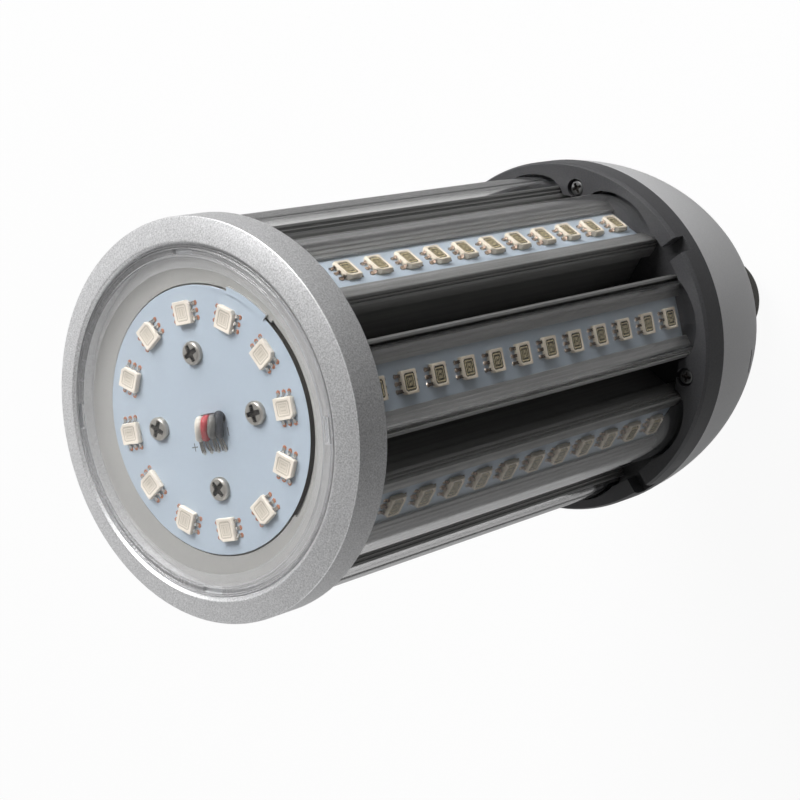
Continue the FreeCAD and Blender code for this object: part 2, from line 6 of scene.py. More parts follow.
import bmesh
import bpy
import numpy as np
from bpy.props import FloatProperty, FloatVectorProperty, PointerProperty
from mathutils import Matrix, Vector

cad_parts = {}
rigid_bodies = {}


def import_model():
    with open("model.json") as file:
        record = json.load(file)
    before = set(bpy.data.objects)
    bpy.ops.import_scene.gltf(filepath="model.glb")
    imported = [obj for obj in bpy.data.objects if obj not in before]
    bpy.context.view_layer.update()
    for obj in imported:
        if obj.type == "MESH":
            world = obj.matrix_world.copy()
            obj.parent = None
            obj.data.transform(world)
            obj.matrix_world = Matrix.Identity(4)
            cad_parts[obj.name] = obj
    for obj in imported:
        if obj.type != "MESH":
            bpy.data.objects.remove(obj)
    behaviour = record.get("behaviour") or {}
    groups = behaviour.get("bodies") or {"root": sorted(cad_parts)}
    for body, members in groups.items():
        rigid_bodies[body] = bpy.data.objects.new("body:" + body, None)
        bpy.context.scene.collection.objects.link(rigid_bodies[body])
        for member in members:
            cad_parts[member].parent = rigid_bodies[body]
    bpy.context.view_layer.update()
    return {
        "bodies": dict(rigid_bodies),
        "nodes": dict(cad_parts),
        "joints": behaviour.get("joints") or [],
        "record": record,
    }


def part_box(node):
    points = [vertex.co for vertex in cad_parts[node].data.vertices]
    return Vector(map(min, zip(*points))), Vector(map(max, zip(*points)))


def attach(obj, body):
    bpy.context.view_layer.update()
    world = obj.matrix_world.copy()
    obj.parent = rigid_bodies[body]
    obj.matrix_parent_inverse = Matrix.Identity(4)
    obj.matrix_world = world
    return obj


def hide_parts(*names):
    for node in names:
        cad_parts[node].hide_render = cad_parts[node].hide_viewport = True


bl_info = {
    "name": "Corn LED bulb",
    "version": (1, 0, 0),
    "blender": (4, 5, 0),
    "location": "3D View > Sidebar > Corn bulb",
    "description": "Dresses the corn LED bulb: rings, lens, light modules, wires, screws and cap",
    "category": "Object",
}

for leftover in list(bpy.data.objects):
    bpy.data.objects.remove(leftover)

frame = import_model()
NODES = frame["nodes"]

MM = 0.001
MODULES = 8
LEDS = 12           # on each strip and on the end board
STEP = 2 * math.pi / MODULES
FIRST_GAP = math.radians(-22.5)
BOARD_TOP = 232.3   # seat of the end board's parts, mm
COLLAR_SEAT = 94.6  # seat of the collar's screw heads, mm


def box_mm(node):
    """Low and high corner of a CAD node's box, in mm."""
    low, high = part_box(node)
    return np.array(low) / MM, np.array(high) / MM


def shade(red, green, blue):
    """Colour as it is seen, 0 to 255, turned into the linear value that a shader takes."""
    seen = np.array([red, green, blue]) / 255.0
    linear = np.where(seen <= 0.04045, seen / 12.92, ((seen + 0.055) / 1.055) ** 2.4)
    return tuple(float(v) for v in linear)


# ---------------- settings

def size(label, text, value):
    """One size in millimetres for the sidebar."""
    return FloatProperty(name=label, description=text, default=value, min=0.01, precision=2)


def colour(label, text, value):
    """One colour for the sidebar."""
    return FloatVectorProperty(name=label, description=text, default=shade(*value), subtype="COLOR", min=0.0, max=1.0)


def level(label, text, value):
    """Level of one light for the sidebar."""
    return FloatProperty(name=label, description=text, default=value, min=0.0)


class BulbFrontSettings(bpy.types.PropertyGroup):
    ring_round: size("Ring edge rounding", "Rounding of the front ring's edges, in mm", 0.35)
    ring_paint: colour("Ring paint", "Silver paint of the front ring", (212, 212, 213))
    board_mask: colour("Board mask", "Pale blue mask of the LED boards", (176, 188, 200))
    plate_metal: colour("End plate", "Bare metal under the lens", (174, 173, 170))
    wire_d: size("Wire diameter", "Outer diameter of the insulated wires, in mm", 2.0)
    wire_pitch: size("Wire pitch", "Distance between neighbouring wires, in mm", 2.05)
    screw_metal: colour("Screw metal", "Plated steel of the screws", (174, 170, 163))


class BulbModuleSettings(bpy.types.PropertyGroup):
    led_long: size("LED width", "Size of an LED package across its leads, in mm", 5.4)
    led_short: size("LED length", "Size of an LED package between its leads, in mm", 5.0)
    led_h: size("LED height", "Height of an LED package, in mm", 1.4)
    led_body: colour("LED body", "Moulded body of an LED package", (234, 225, 212))
    end_window: colour("End LED window", "Resin of the end board's LED packages", (222, 213, 200))
    strip_window: colour("Strip LED window", "Resin of the strips' LED packages", (232, 214, 168))
    aluminium: colour("Module metal", "Extruded aluminium of the modules", (152, 152, 151))
    cover_wall: size("Cover wall", "Wall of the clear covers, in mm", 1.3)


class BulbRearSettings(bpy.types.PropertyGroup):
    collar_paint: colour("Collar paint", "Dark paint of the rear collar", (74, 74, 76))
    housing_plastic: colour("Housing", "Silver grey of the rear housing", (222, 222, 223))
    thread_pitch: size("Thread pitch", "Pitch of the screw cap's rolled thread, in mm", 3.62)
    thread_depth: size("Thread depth", "Depth of the rolled thread, in mm", 1.0)
    # painted shade: the cap's plated metal is coloured far darker, for the shade and dark surroundings it shows
    cap_metal: colour("Cap metal with painted shade", "Plated brass of the screw cap", (112, 111, 108))


class BulbStageSettings(bpy.types.PropertyGroup):
    lens_mm: FloatProperty(name="Focal length", description="Focal length of the camera", default=94.095, unit="CAMERA")
    key_level: level("Key light", "Level of the key light", 0.94)
    fill_level: level("Fill light", "Level of the fill light", 0.19)
    side_level: level("Side light", "Level of the low side light", 0.6)
    sky_level: level("Room light", "Level of the light from all round", 0.07)
    floor_size: FloatProperty(name="Floor", description="Width of the floor", default=6.0, unit="LENGTH", min=0.1)


# ---------------- surfaces

def grid(points, close_rows=False, close_columns=False):
    """Vertices and quads of a grid of points; a closed direction joins its last line to its first."""
    rows, columns = points.shape[:2]
    ids = np.arange(rows * columns).reshape(rows, columns)
    if close_rows:
        ids = np.vstack([ids, ids[:1]])
    if close_columns:
        ids = np.hstack([ids, ids[:, :1]])
    quads = np.stack([ids[:-1, :-1], ids[:-1, 1:], ids[1:, 1:], ids[1:, :-1]], axis=-1)
    return points.reshape(-1, 3), quads.reshape(-1, 4).tolist()


def capped(points):
    """Grid that is closed across its columns and has one face over its last row."""
    vertices, faces = grid(points, close_columns=True)
    return vertices, faces + [list(range(len(vertices) - points.shape[1], len(vertices)))]


def joined(*surfaces):
    """Several (vertices, faces) surfaces as one."""
    vertices = np.vstack([s[0] for s in surfaces])
    faces = []
    start = 0
    for points, polygons in surfaces:
        faces += [[corner + start for corner in face] for face in polygons]
        start += len(points)
    return vertices, faces


def xyz(x, y, z):
    """Points from their three coordinates, any of which may be one number or one row for all."""
    return np.stack(np.broadcast_arrays(x, y, z), axis=-1)


def whole_turn(steps):
    """Even steps of angle, once round."""
    return np.linspace(0, 2 * math.pi, steps, endpoint=False)


def on_circle(turn):
    """Points of the unit circle at the given angles."""
    return np.stack([np.cos(turn), np.sin(turn)], axis=-1)


def polar(radius, turn, height):
    """Points at a radius from the lamp axis, an angle and a height."""
    return xyz(radius * np.cos(turn), radius * np.sin(turn), height)


def turned(points, angle):
    """Points turned about the lamp axis; the angle may be an array of one angle per copy."""
    angle = np.asarray(angle, dtype=float)[..., None]
    x, y, z = points[..., 0], points[..., 1], points[..., 2]
    return xyz(x * np.cos(angle) - y * np.sin(angle), x * np.sin(angle) + y * np.cos(angle), z)


def copies(faces, places):
    """The faces of one surface repeated over an array of its placed vertices, (copy, vertex, 3)."""
    count, each = places.shape[:2]
    repeated = [[corner + n * each for corner in face] for n in range(count) for face in faces]
    return places.reshape(-1, 3), repeated


def rounded(corners, radii, steps):
    """Closed outline whose corners are eased: each is a parabola between two points on its sides, at the radius
    from the corner or just under half the side."""
    corners = np.asarray(corners, dtype=float)
    radii = np.broadcast_to(np.asarray(radii, dtype=float), len(corners))[:, None]
    back = np.roll(corners, 1, axis=0) - corners
    ahead = np.roll(corners, -1, axis=0) - corners
    back_l = np.linalg.norm(back, axis=1, keepdims=True)
    ahead_l = np.linalg.norm(ahead, axis=1, keepdims=True)
    enter = corners + back / back_l * np.minimum(radii, 0.45 * back_l)
    leave = corners + ahead / ahead_l * np.minimum(radii, 0.45 * ahead_l)
    t = np.linspace(0, 1, steps)[None, :, None]
    curve = enter[:, None] * (1 - t) ** 2 + 2 * corners[:, None] * t * (1 - t) + leave[:, None] * t ** 2
    return curve.reshape(-1, corners.shape[1])


def lathe(profile, steps, closed=True):
    """Profile of (radius, height) carried round the lamp axis: x = r cos a, y = r sin a, z = h."""
    profile = np.asarray(profile, dtype=float)
    points = polar(profile[:, :1], whole_turn(steps), profile[:, 1:])
    return grid(points, close_rows=closed, close_columns=True)


def path(points, per_run):
    """Smooth path near its points: a cubic B-spline that starts and ends on the first and the last point."""
    points = np.asarray(points, dtype=float)
    held = np.vstack([points[:1], points[:1], points, points[-1:], points[-1:]])
    t = np.linspace(0, 1, per_run, endpoint=False)[None, :, None]
    a, b, c, d = (held[i:len(held) - 3 + i][:, None] for i in range(4))
    curve = ((1 - t) ** 3 * a + (3 * t ** 3 - 6 * t ** 2 + 4) * b
             + (-3 * t ** 3 + 3 * t ** 2 + 3 * t + 1) * c + t ** 3 * d) / 6
    return np.vstack([curve.reshape(-1, 3), points[-1:]])


def tube(line, radius, sides=20):
    """Circle carried along a path that lies near a plane of constant y: the circle's two axes are the path's normal
    in that plane and the direction square to it. Its ends are closed by a ring drawn to their middle."""
    ahead = np.gradient(line, axis=0)
    ahead /= np.linalg.norm(ahead, axis=1, keepdims=True)
    side = np.array([0.0, 1.0, 0.0]) - ahead * ahead[:, 1:2]
    side /= np.linalg.norm(side, axis=1, keepdims=True)
    up = np.cross(ahead, side)
    angle = whole_turn(sides)
    radius = np.broadcast_to(np.asarray(radius, dtype=float), len(line))[:, None, None]
    round_it = side[:, None] * np.cos(angle)[None, :, None] + up[:, None] * np.sin(angle)[None, :, None]
    body = line[:, None] + radius * round_it
    closed = np.concatenate([body[:1] * 0 + line[0], body, body[:1] * 0 + line[-1]])
    return grid(closed, close_columns=True)


# ---------------- pieces

def linked(name, data):
    """New object of the scene, at the origin."""
    piece = bpy.data.objects.new(name, data)
    bpy.context.scene.collection.objects.link(piece)
    return piece


def put_on(mesh, finishes):
    """Puts finishes on a mesh in the place of its own materials."""
    mesh.materials.clear()
    for name in finishes:
        mesh.materials.append(finish(name))


def carried(piece, replaced):
    """Says what a piece rides on and which nodes it replaces."""
    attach(piece, "root")
    if replaced:
        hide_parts(*replaced)


def make_piece(name, surface, finishes, replaced, which=None, uv=None, sharp=35.0):
    """Mesh object from a surface in millimetres. Doubles are merged and faces turned outward; edges sharper than
    the angle stay sharp. which gives each face's finish; uv gives each vertex's place on a package."""
    mesh = bpy.data.meshes.new(name)
    mesh.from_pydata((surface[0] * MM).tolist(), [], surface[1])
    put_on(mesh, finishes)
    if which is not None:
        mesh.polygons.foreach_set("material_index", np.asarray(which, dtype=np.int32))
    if uv is not None:
        layer = mesh.uv_layers.new(name="package")
        corner = np.empty(len(mesh.loops), dtype=np.int32)
        mesh.loops.foreach_get("vertex_index", corner)
        layer.data.foreach_set("uv", uv[corner].astype(np.float32).ravel())
    tidy_mesh(mesh, sharp)
    carried(linked(name, mesh), replaced)


def tidy_mesh(mesh, sharp, flat_angle=None):
    """Merges doubles, then turns faces outward and marks the sharp edges."""
    shell = bmesh.new()
    shell.from_mesh(mesh)
    bmesh.ops.remove_doubles(shell, verts=shell.verts, dist=2e-6)
    if flat_angle is not None:
        bmesh.ops.dissolve_limit(shell, angle_limit=flat_angle, verts=shell.verts, edges=shell.edges)
    bmesh.ops.recalc_face_normals(shell, faces=shell.faces)
    shell.to_mesh(mesh)
    shell.free()
    mesh.shade_smooth()
    mesh.set_sharp_from_angle(angle=math.radians(sharp))


def softened(node, finishes, width, sharp=30.0, second=None):
    """Copy of a CAD node's mesh, merged and with its flat faces whole again, with a small rounded edge. second tells
    from the faces' centres and normals which of them take the second finish."""
    name = "soft_" + node
    mesh = bpy.data.meshes.new(name)
    source = bmesh.new()
    source.from_mesh(NODES[node].data)
    source.to_mesh(mesh)
    source.free()
    put_on(mesh, finishes)
    tidy_mesh(mesh, sharp, math.radians(0.3))
    if second is not None:
        centres, normals = np.empty((2, len(mesh.polygons), 3))
        mesh.polygons.foreach_get("center", centres.ravel())
        mesh.polygons.foreach_get("normal", normals.ravel())
        chosen = second(centres / MM, normals)
        mesh.polygons.foreach_set("material_index", chosen.astype(np.int32))
    piece = linked(name, mesh)
    bevel = piece.modifiers.new("rounded edges", "BEVEL")
    bevel.width = width * MM
    bevel.segments = 2
    bevel.limit_method = "ANGLE"
    bevel.angle_limit = math.radians(sharp)
    bevel.use_clamp_overlap = True
    bevel.harden_normals = True
    carried(piece, [node])


def dress(node, name):
    """Puts a finish on a CAD node that keeps its own shape."""
    put_on(NODES[node].data, [name])


# ---------------- finishes

def set_inputs(node, values):
    """Plain values of a node's inputs, by the inputs' names."""
    for key, value in values.items():
        node.inputs[key.replace("_", " ")].default_value = value


def add(tree, kind, **values):
    """New shader node with the given input values."""
    node = tree.nodes.new(kind)
    set_inputs(node, values)
    return node


def arithmetic(tree, operation, first, second=0.0, clamp=False):
    """Math node that takes sockets or numbers."""
    node = tree.nodes.new("ShaderNodeMath")
    node.operation = operation
    node.use_clamp = clamp
    for socket, value in zip(node.inputs, (first, second)):
        if isinstance(value, (int, float)):
            socket.default_value = value
        else:
            tree.links.new(value, socket)
    return node.outputs[0]


def times(tree, first, second, clamp=False):
    """Product of two sockets or numbers."""
    return arithmetic(tree, "MULTIPLY", first, second, clamp)


def plus(tree, first, second, clamp=False):
    """Sum of two sockets or numbers."""
    return arithmetic(tree, "ADD", first, second, clamp)


def minus(tree, first, second, clamp=False):
    """Difference of two sockets or numbers."""
    return arithmetic(tree, "SUBTRACT", first, second, clamp)


def absolute(tree, value):
    """A socket's value without its sign."""
    return arithmetic(tree, "ABSOLUTE", value)


def below(tree, value, limit):
    """1 where a socket's value is under a limit, otherwise 0."""
    return arithmetic(tree, "LESS_THAN", value, limit)


def largest(tree, first, *others):
    """Largest of several sockets."""
    for other in others:
        first = arithmetic(tree, "MAXIMUM", first, other)
    return first


def split_place(tree, source):
    """The three coordinates of a place, as the outputs X, Y and Z."""
    split = tree.nodes.new("ShaderNodeSeparateXYZ")
    tree.links.new(source, split.inputs[0])
    return split.outputs


def new_group(name, inputs, outputs):
    """Node group with inputs at their plain values, and outputs of which only Colour is a colour; returns the group
    and its two end nodes."""
    group = bpy.data.node_groups.new(name, "ShaderNodeTree")
    for label, value in inputs.items():
        kind = "NodeSocketFloat" if isinstance(value, float) else "NodeSocketColor"
        group.interface.new_socket(label, in_out="INPUT", socket_type=kind).default_value = value
    for label in outputs:
        kind = "NodeSocketColor" if label == "Colour" else "NodeSocketFloat"
        group.interface.new_socket(label, in_out="OUTPUT", socket_type=kind)
    return group, group.nodes.new("NodeGroupInput"), group.nodes.new("NodeGroupOutput")


def shaded(tree, base, factor):
    """Colour times a factor, both sockets."""
    node = tree.nodes.new("ShaderNodeVectorMath")
    node.operation = "SCALE"
    tree.links.new(base, node.inputs[0])
    tree.links.new(factor, node.inputs["Scale"])
    return node.outputs[0]


def noise_part(group, noise, amount):
    """A noise about its middle value, times an amount."""
    return times(group, minus(group, noise.outputs[0], 0.5), amount)


def object_noise(group, place, scale, **values):
    """Noise on Object coordinates or on the given vector; the scale is a number or a socket."""
    if place is None:
        place = group.nodes.new("ShaderNodeTexCoord").outputs["Object"]
    noise = add(group, "ShaderNodeTexNoise", **values)
    group.links.new(place, noise.inputs["Vector"])
    if isinstance(scale, float):
        noise.inputs["Scale"].default_value = scale
    else:
        group.links.new(scale, noise.inputs["Scale"])
    return noise


def finish_outputs(group, start, end, parts, uneven, strength, height):
    """Links a finish's outputs: the colour goes up and down by twice the sum of its two parts, the roughness by the
    uneven part times its strength, and the height is given."""
    total = plus(group, times(group, plus(group, *parts), 2.0), 1.0)
    group.links.new(shaded(group, start.outputs["Colour"], total), end.inputs["Colour"])
    rough = times(group, start.outputs["Roughness"], plus(group, times(group, uneven, strength), 1.0), clamp=True)
    group.links.new(rough, end.inputs["Roughness"])
    group.links.new(height, end.inputs["Height"])


def speckle_group():
    """Fine grain and soft blotches: the colour goes up and down with two noises, and the height with the fine one."""
    group, start, end = new_group(
        "Speckle",
        {"Colour": (0.8, 0.8, 0.8, 1.0), "Grains per metre": 2500.0, "Grain": 0.12, "Blotch": 0.05, "Roughness": 0.4},
        ("Colour", "Roughness", "Height"))
    fine = object_noise(group, None, start.outputs["Grains per metre"], Detail=3.0, Roughness=0.6)
    broad = object_noise(group, None, 28.0, Detail=4.0, Roughness=0.55)
    grain = noise_part(group, fine, start.outputs["Grain"])
    blotch = noise_part(group, broad, start.outputs["Blotch"])
    finish_outputs(group, start, end, (grain, blotch), blotch, 4.0, fine.outputs[0])
    return group


def drawn_group():
    """Lines along the lamp axis, as an extrusion die leaves them: noise stretched far along Z, over soft blotches."""
    group, start, end = new_group(
        "Drawn lines",
        {"Colour": (0.5, 0.5, 0.5, 1.0), "Lines per metre": 1400.0, "Contrast": 0.25, "Roughness": 0.35},
        ("Colour", "Roughness", "Height"))
    place = group.nodes.new("ShaderNodeTexCoord")
    stretch = group.nodes.new("ShaderNodeVectorMath")
    stretch.operation = "MULTIPLY"
    stretch.inputs[1].default_value = (1.0, 1.0, 0.006)
    group.links.new(place.outputs["Object"], stretch.inputs[0])
    lines = object_noise(group, stretch.outputs[0], start.outputs["Lines per metre"], Detail=4.0, Roughness=0.65)
    broad = object_noise(group, None, 40.0, Detail=3.0)
    line = noise_part(group, lines, start.outputs["Contrast"])
    finish_outputs(group, start, end, (line, noise_part(group, broad, 0.12)), line, 1.6, lines.outputs[0])
    return group


def package_group():
    """Window of an LED package from its own UV: resin with a rim line, a chip with two bond bars, a fine grain and,
    where the resin is clear, dark rings and crumbs of light and dark."""
    group, start, end = new_group(
        "LED window",
        {"Resin": (0.4, 0.36, 0.26, 1.0), "Chip": (0.16, 0.14, 0.09, 1.0), "Chip amount": 0.6, "Crumbs": 0.0,
         "Rings": 0.0},
        ("Colour", "Height"))
    place = group.nodes.new("ShaderNodeUVMap")
    place.uv_map = "package"
    split = split_place(group, place.outputs[0])
    across, along = absolute(group, split["X"]), absolute(group, split["Y"])
    edge = largest(group, times(group, across, 1.05), along)
    rim = arithmetic(group, "GREATER_THAN", edge, 0.6)
    line = below(group, absolute(group, minus(group, edge, 0.44)), 0.03)
    wave = arithmetic(group, "COSINE", times(group, edge, 15.0))
    rings = times(group, times(group, wave, 3.0, clamp=True), start.outputs["Rings"])
    bar = below(group, absolute(group, minus(group, across, 0.16)), 0.055)
    bars = times(group, bar, below(group, along, 0.3))
    inner = times(group, below(group, edge, 0.4), 0.35)
    pattern = largest(group, rim, line, bars, rings, inner)
    noise = object_noise(group, None, 2600.0, Detail=2.0)
    crumbs = times(group, minus(group, noise.outputs[0], 0.42), 7.0, clamp=True)
    spread = largest(group, pattern, times(group, crumbs, start.outputs["Crumbs"]))
    grainy = times(group, spread, plus(group, noise.outputs[0], 0.5))
    amount = times(group, grainy, start.outputs["Chip amount"], clamp=True)
    mix = group.nodes.new("ShaderNodeMix")
    mix.data_type = "RGBA"
    colours = [socket for socket in mix.inputs if socket.type == "RGBA"]
    group.links.new(start.outputs["Resin"], colours[0])
    group.links.new(start.outputs["Chip"], colours[1])
    group.links.new(amount, mix.inputs[0])
    result = [socket for socket in mix.outputs if socket.type == "RGBA"]
    group.links.new(result[0], end.inputs["Colour"])
    group.links.new(pattern, end.inputs["Height"])
    return group


def base_material(name, metallic, roughness, **values):
    """Material with a Principled shader whose plain values are set on the shader itself."""
    material = bpy.data.materials.new(name)
    material.use_nodes = True
    shader = material.node_tree.nodes["Principled BSDF"]
    set_inputs(shader, {"Metallic": metallic, "Roughness": roughness, **values})
    return material, material.node_tree, shader


def use_group(tree, shader, group, bump=0.0, distance=0.00005, **values):
    """Adds a shared effect and links its outputs to the shader's colour, roughness and bump."""
    node = tree.nodes.new("ShaderNodeGroup")
    node.node_tree = group
    set_inputs(node, values)
    tree.links.new(node.outputs["Colour"], shader.inputs["Base Color"])
    if "Roughness" in node.outputs:
        tree.links.new(node.outputs["Roughness"], shader.inputs["Roughness"])
    if bump:
        relief = add(tree, "ShaderNodeBump", Strength=bump, Distance=distance)
        tree.links.new(node.outputs["Height"], relief.inputs["Height"])
        tree.links.new(relief.outputs["Normal"], shader.inputs["Normal"])
    return node


def four(colour_value):
    """Colour with full opacity."""
    return (*colour_value, 1.0)


FINISHES = {}


def finish(name):
    """A finish by name; all of them are made on first use."""
    if not FINISHES:
        make_finishes()
    return FINISHES[name]


def speckled(name, tint, roughness, grain, grains, metallic=0.0, blotch=0.05, bump=0.15):
    """Finish with fine grain and blotches."""
    material, tree, shader = base_material(name, metallic, roughness)
    use_group(tree, shader, GROUPS["speckle"], bump=bump, Colour=four(tint), Roughness=roughness,
              Grain=grain, Grains_per_metre=grains, Blotch=blotch)
    FINISHES[name] = material


def drawn(name, tint, roughness, contrast, lines, metallic=1.0, bump=0.2):
    """Finish with lines along the lamp axis."""
    material, tree, shader = base_material(name, metallic, roughness)
    use_group(tree, shader, GROUPS["drawn"], bump=bump, Colour=four(tint), Roughness=roughness,
              Contrast=contrast, Lines_per_metre=lines)
    FINISHES[name] = material


def clear(name, roughness, ior, tint=(1.0, 1.0, 1.0), lines=0.0, passing=1.0, edge=0.0):
    """Clear plastic. Shadow rays pass it nearly unweakened, so that what lies under it is lit. Seen edge-on it is
    darker by the edge part, as a longer way through the plastic makes it."""
    material, tree, shader = base_material(name, 0.0, roughness, IOR=ior, Transmission_Weight=passing)
    group = GROUPS["drawn"] if lines else GROUPS["speckle"]
    values = {"Contrast": 0.02} if lines else {"Grain": 0.02, "Blotch": 0.02, "Grains_per_metre": 700.0}
    effect = use_group(tree, shader, group, bump=lines or 0.02, distance=0.00002, Colour=four(tint),
                       Roughness=roughness, **values)
    if edge:
        slant = add(tree, "ShaderNodeLayerWeight", Blend=0.5)
        steep = arithmetic(tree, "POWER", slant.outputs["Facing"], 2.0)
        loss = minus(tree, 1.0, times(tree, steep, edge))
        tree.links.new(shaded(tree, effect.outputs["Colour"], loss), shader.inputs["Base Color"])
    rays = tree.nodes.new("ShaderNodeLightPath")
    shadow = times(tree, rays.outputs["Is Shadow Ray"], -0.92)
    tree.links.new(plus(tree, shadow, 1.0), shader.inputs["Alpha"])
    FINISHES[name] = material


GROUPS = {}


def make_finishes():
    """All finishes of the lamp."""
    front = bpy.context.scene.bulb_front
    modules = bpy.context.scene.bulb_modules
    rear = bpy.context.scene.bulb_rear
    GROUPS.update(speckle=speckle_group(), drawn=drawn_group(), package=package_group())
    speckled("Ring paint", front.ring_paint, 0.38, 0.8, 3000.0, metallic=0.5, blotch=0.05, bump=0.6)
    speckled("Board mask", front.board_mask, 0.38, 0.03, 1500.0, blotch=0.03, bump=0.05)
    # painted shade of the gap beside the end board, laid on the board's outer side
    speckled("Board edge painted shade", shade(62, 58, 52), 0.6, 0.1, 1500.0)
    speckled("Plate metal", front.plate_metal, 0.42, 0.06, 1800.0, metallic=0.25, blotch=0.12)
    speckled("Screw metal", front.screw_metal, 0.32, 0.1, 2500.0, metallic=0.9, blotch=0.12)
    speckled("Dark screw", shade(126, 126, 126), 0.35, 0.2, 2500.0, metallic=0.9, blotch=0.12)
    # painted shade in the cross recesses of the screws
    speckled("Screw recess painted shade", shade(58, 54, 50), 0.5, 0.3, 2500.0, metallic=0.6, blotch=0.2)
    speckled("Collar paint", rear.collar_paint, 0.42, 0.5, 2300.0, blotch=0.1, bump=0.4)
    speckled("Housing plastic", rear.housing_plastic, 0.34, 0.12, 2200.0, metallic=0.3, blotch=0.06, bump=0.1)
    # painted shade: the cap metal is set far darker than plated brass
    speckled("Cap metal with painted shade", rear.cap_metal, 0.25, 0.08, 1500.0, metallic=1.0, blotch=0.1)
    speckled("Cap insulator", shade(36, 34, 33), 0.3, 0.05, 1500.0)
    speckled("Contact metal", shade(190, 184, 170), 0.35, 0.12, 1800.0, metallic=1.0)
    speckled("LED body", modules.led_body, 0.35, 0.03, 2500.0, blotch=0.06, bump=0.04)
    speckled("LED leads", shade(198, 196, 192), 0.2, 0.2, 3000.0, metallic=1.0)
    speckled("Strip LED body", shade(238, 225, 204), 0.35, 0.03, 2500.0, blotch=0.06, bump=0.04)
    # painted shade: the strips' leads are a darker copy of the LED leads, for the dark surroundings they reflect
    speckled("Strip LED leads with painted shade", shade(116, 102, 92), 0.15, 0.2, 3000.0, metallic=1.0)
    speckled("Strip solder", shade(164, 152, 142), 0.12, 0.2, 3000.0, metallic=1.0)
    speckled("Lead pads", shade(184, 124, 96), 0.4, 0.25, 3000.0, metallic=0.5)
    speckled("Solder", shade(188, 188, 188), 0.28, 0.12, 2500.0, metallic=0.95, bump=0.4)
    speckled("Strand", shade(140, 137, 132), 0.28, 0.3, 4000.0, metallic=1.0)
    speckled("Wire white", shade(212, 207, 196), 0.4, 0.03, 2500.0, bump=0.08)
    speckled("Wire red", shade(168, 62, 66), 0.4, 0.04, 2500.0, bump=0.08)
    speckled("Wire grey", shade(116, 114, 110), 0.4, 0.04, 2500.0, bump=0.08)
    speckled("Wire black", shade(46, 48, 54), 0.38, 0.04, 2500.0, bump=0.08)
    speckled("Mark print", shade(108, 110, 112), 0.6, 0.1, 4000.0)
    speckled("Driver board", shade(52, 92, 60), 0.4, 0.08, 1500.0)
    speckled("Ferrite", shade(52, 50, 50), 0.6, 0.12, 1500.0)
    speckled("Capacitor sleeve", shade(40, 44, 62), 0.3, 0.04, 1200.0)
    speckled("Lead wire", shade(120, 118, 112), 0.4, 0.04, 2000.0)
    drawn("Module metal", modules.aluminium, 0.4, 0.55, 1300.0, metallic=0.5)
    drawn("Core metal", shade(150, 150, 150), 0.45, 0.2, 700.0)
    clear("Lens plastic", 0.03, ior=1.35)
    clear("Lens rim", 0.08, ior=1.4, tint=shade(224, 224, 225), passing=0.74)
    clear("Lens recess", 0.25, ior=1.3, tint=shade(216, 217, 219), passing=0.6)
    clear("Cover plastic", 0.05, ior=1.4, lines=0.25, edge=0.8)
    # The strips' windows take a far darker chip, more of it and dark rings than the end board's windows of the same
    # packages: partly the chip seen through clear resin, partly painted shade in their deeper cavities.
    windows = (("End LED window", modules.end_window, shade(150, 138, 118), 0.45, 0.3, 0.0, 0.0),
               ("Strip LED window", modules.strip_window, shade(34, 30, 16), 0.9, 0.12, 0.3, 1.0))
    for name, resin, chip, amount, roughness, crumbs, rings in windows:
        material, tree, shader = base_material(name, 0.0, roughness)
        use_group(tree, shader, GROUPS["package"], bump=0.1, Resin=four(resin), Chip=four(chip), Chip_amount=amount,
                  Crumbs=crumbs, Rings=rings)
        FINISHES[name] = material


# ---------------- LED packages

def led_ring(half_u, half_v, corner, cut, height):
    """Eight corners of one level of an LED package, with one corner cut wider, as (u, v, w)."""
    signs = np.array([[1, -1], [1, 1], [-1, 1], [-1, -1]], dtype=float)
    ease = np.array([corner, corner, corner, cut])[:, None]
    middle = signs * np.array([half_u, half_v])
    first = middle - signs * ease * np.array([[1, 0], [0, 1], [1, 0], [0, 1]])
    second = middle - signs * ease * np.array([[0, 1], [1, 0], [0, 1], [1, 0]])
    level = np.stack([first, second], axis=1).reshape(-1, 2)
    return xyz(level[:, 0], level[:, 1], height)


